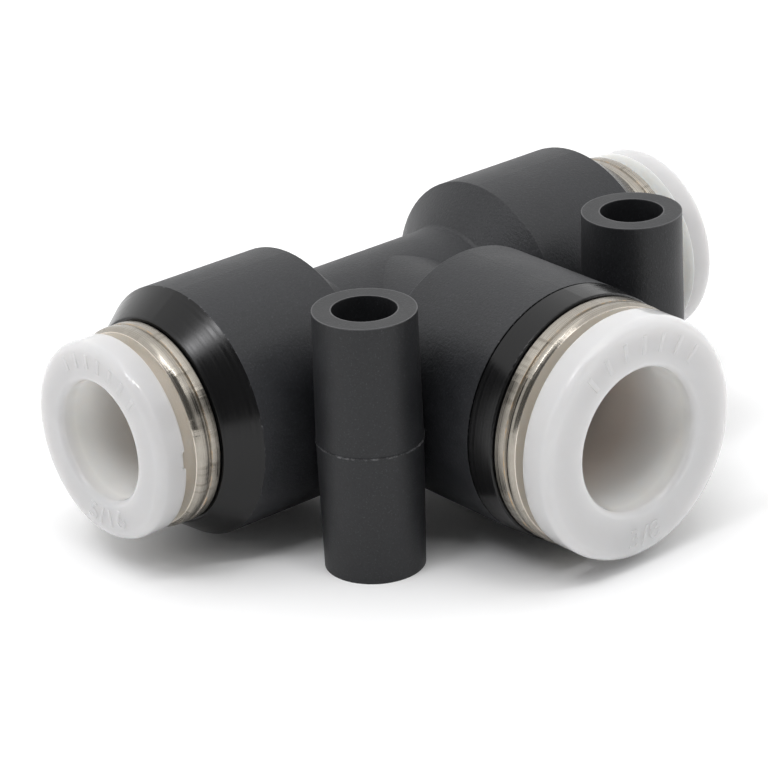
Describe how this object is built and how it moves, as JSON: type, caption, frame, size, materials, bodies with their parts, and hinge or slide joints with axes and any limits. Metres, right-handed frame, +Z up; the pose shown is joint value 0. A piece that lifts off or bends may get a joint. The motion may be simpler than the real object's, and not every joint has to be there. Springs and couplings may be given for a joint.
{
  "type": "push to connect fitting",
  "caption": "Push-to-connect reducing tee for plastic tube, with a larger branch port, sliding release rings and two vertical mounting posts.",
  "frame": {"origin": "midway between the two mounting holes, on the plane of the posts' feet", "axes": "+Z up along the mounting posts, +X along the straight run, and the branch port opens towards -Y"},
  "size_m": [0.0494, 0.0331, 0.0178],
  "materials": {
    "body_plastic": "fine matte texture",
    "ring_plastic": "milky translucent satin",
    "plated_brass": "nickel plated, fine turned lines",
    "claw_steel": "stamped spring steel",
    "spacer_plastic": "matte",
    "seal_rubber": "matte"
  },
  "bodies": {
    "housing": {"body": "body_plastic", "left_elastic_sleeve": "seal_rubber", "left_claw_spacer": "spacer_plastic", "left_lock_claws": "claw_steel", "left_guide_ring": "plated_brass", "right_elastic_sleeve": "seal_rubber", "right_claw_spacer": "spacer_plastic", "right_lock_claws": "claw_steel", "right_guide_ring": "plated_brass", "branch_elastic_sleeve": "seal_rubber", "branch_claw_spacer": "spacer_plastic", "branch_lock_claws": "claw_steel", "branch_guide_ring": "plated_brass"},
    "left_release": {"left_release_ring": "ring_plastic"},
    "right_release": {"right_release_ring": "ring_plastic"},
    "branch_release": {"branch_release_ring": "ring_plastic"}
  },
  "joints": [
    {"name": "left_release_push", "type": "slide", "parent": "housing", "child": "left_release", "axis": [1, 0, 0], "range_m": [0, 0.00085], "stiffness_N_per_m": 1500, "deforming": ["left_lock_claws"]},
    {"name": "right_release_push", "type": "slide", "parent": "housing", "child": "right_release", "axis": [-1, 0, 0], "range_m": [0, 0.00085], "stiffness_N_per_m": 1500, "deforming": ["right_lock_claws"]},
    {"name": "branch_release_push", "type": "slide", "parent": "housing", "child": "branch_release", "axis": [0, 1, 0], "range_m": [0, 0.00085], "stiffness_N_per_m": 1500, "deforming": ["branch_lock_claws"]}
  ]
}
